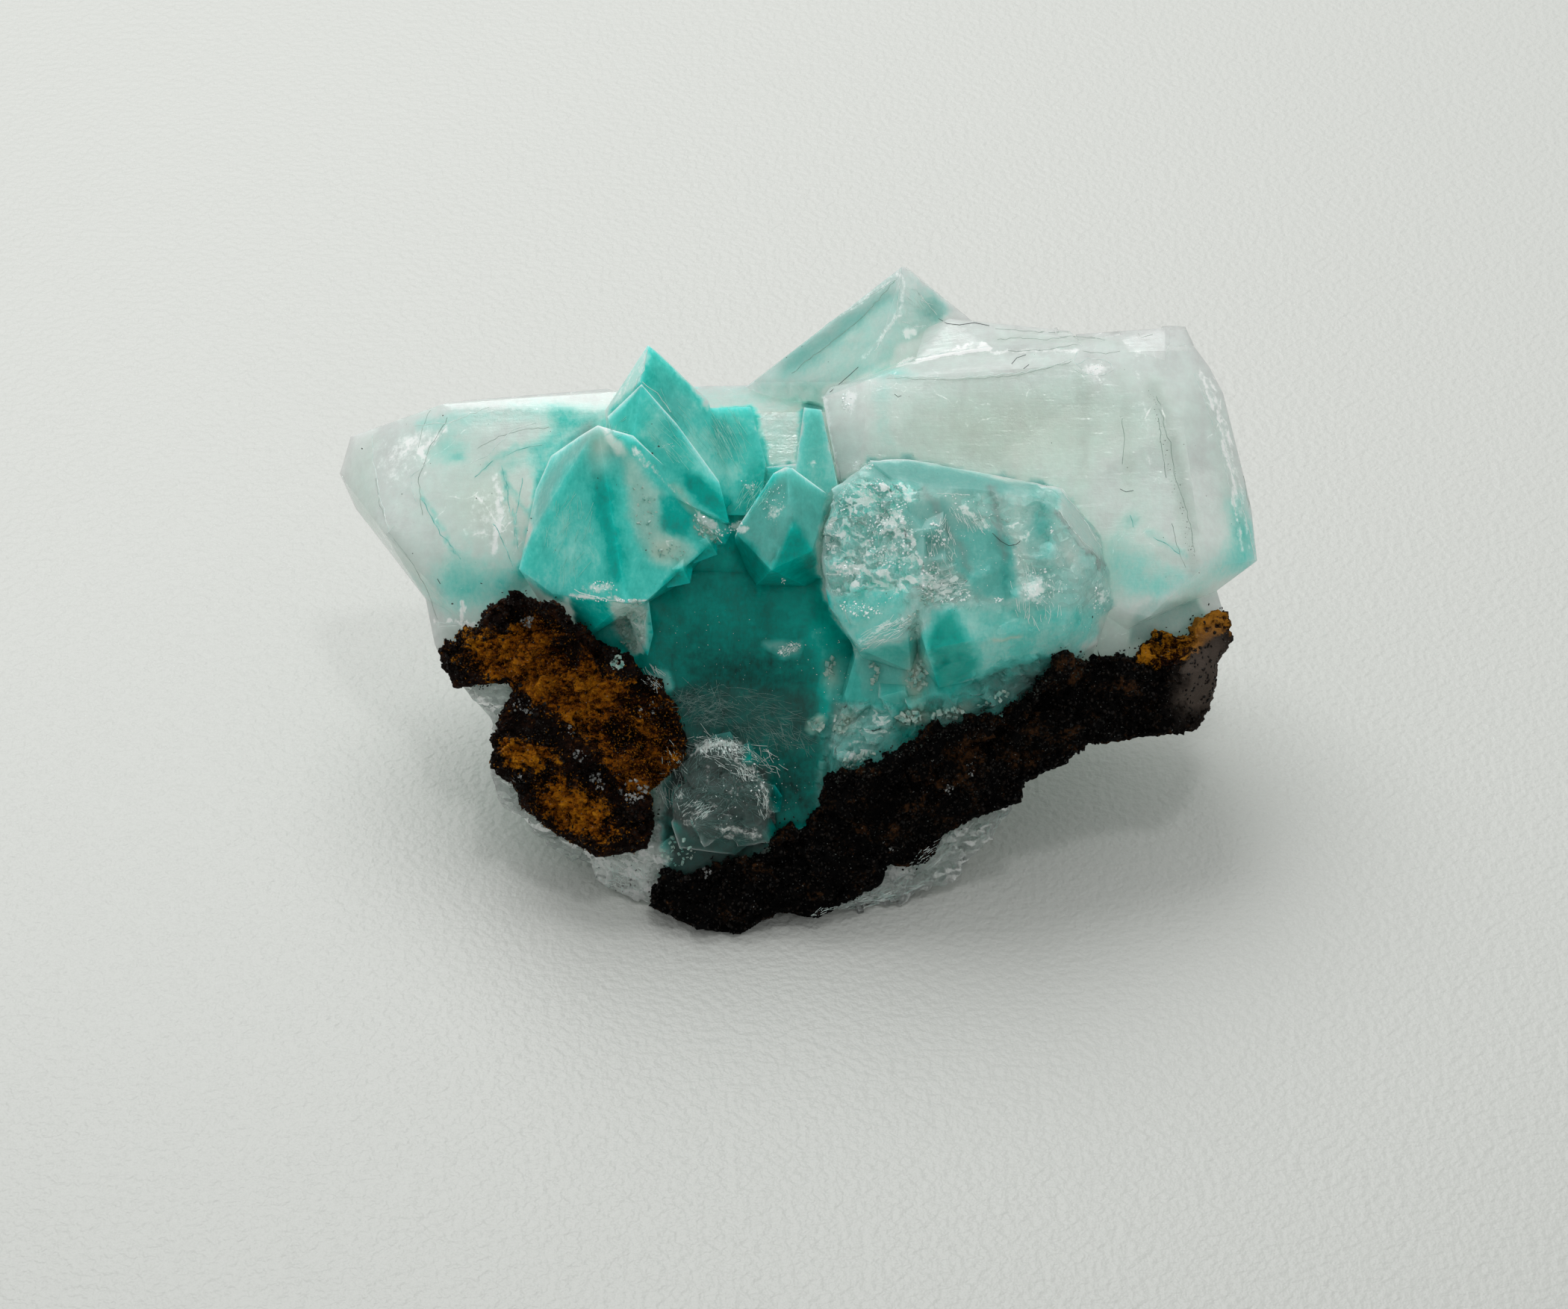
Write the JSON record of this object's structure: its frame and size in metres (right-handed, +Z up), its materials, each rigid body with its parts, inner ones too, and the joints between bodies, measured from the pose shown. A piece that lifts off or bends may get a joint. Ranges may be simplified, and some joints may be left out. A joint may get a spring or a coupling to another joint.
{
  "type": "mineral specimen",
  "caption": "Calcite crystals grown together, pale at the ends and teal with aurichalcite between, on a rusty limonite crust and a dark goethite seam.",
  "frame": {"origin": "on the ground plane, under the middle of the bounding box", "axes": "+X along the longest extent, from the pale pointed crystal to the pale block; +Z up; the broken front with the crust and the seam faces -Y"},
  "size_m": [0.049, 0.0278, 0.0249],
  "materials": {
    "calcite": "clear to milky crystal, vitreous, teal where aurichalcite is enclosed",
    "limonite": "earthy, velvety, orange-brown with black grains at the rim",
    "goethite": "granular, nearly black, with small glints and brown patches"
  },
  "bodies": {
    "root": {"calcite_cluster": "calcite", "limonite_crust": "limonite", "goethite_seam": "goethite"}
  },
  "joints": []
}
